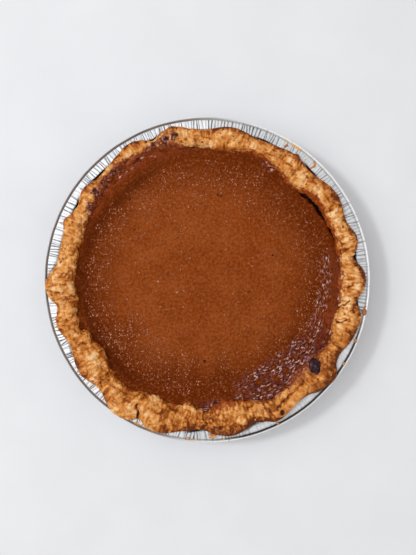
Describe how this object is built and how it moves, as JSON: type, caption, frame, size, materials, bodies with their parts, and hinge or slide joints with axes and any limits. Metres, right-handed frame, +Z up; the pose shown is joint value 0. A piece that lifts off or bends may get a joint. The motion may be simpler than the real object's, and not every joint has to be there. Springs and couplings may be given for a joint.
{
  "type": "pumpkin pie",
  "caption": "Round open pumpkin pie baked in a foil tin: a hand-pinched pastry rim round a level custard filling, served from or lifted out of its tin.",
  "frame": {"origin": "middle of the tin's flat base, on the surface that the pie stands on", "axes": "+Z up; +X towards the pie's right-hand side as seen from above"},
  "size_m": [0.244, 0.244, 0.0405],
  "materials": {
    "foil": "thin pressed foil, satin, bright along its pleats",
    "pastry": "baked pastry, matt and flaky, darker where it is thin",
    "custard": "baked pumpkin custard, satin skin with fine bubbles"
  },
  "bodies": {
    "root": {"tin": "foil", "crust": "pastry", "filling": "custard"}
  },
  "joints": []
}
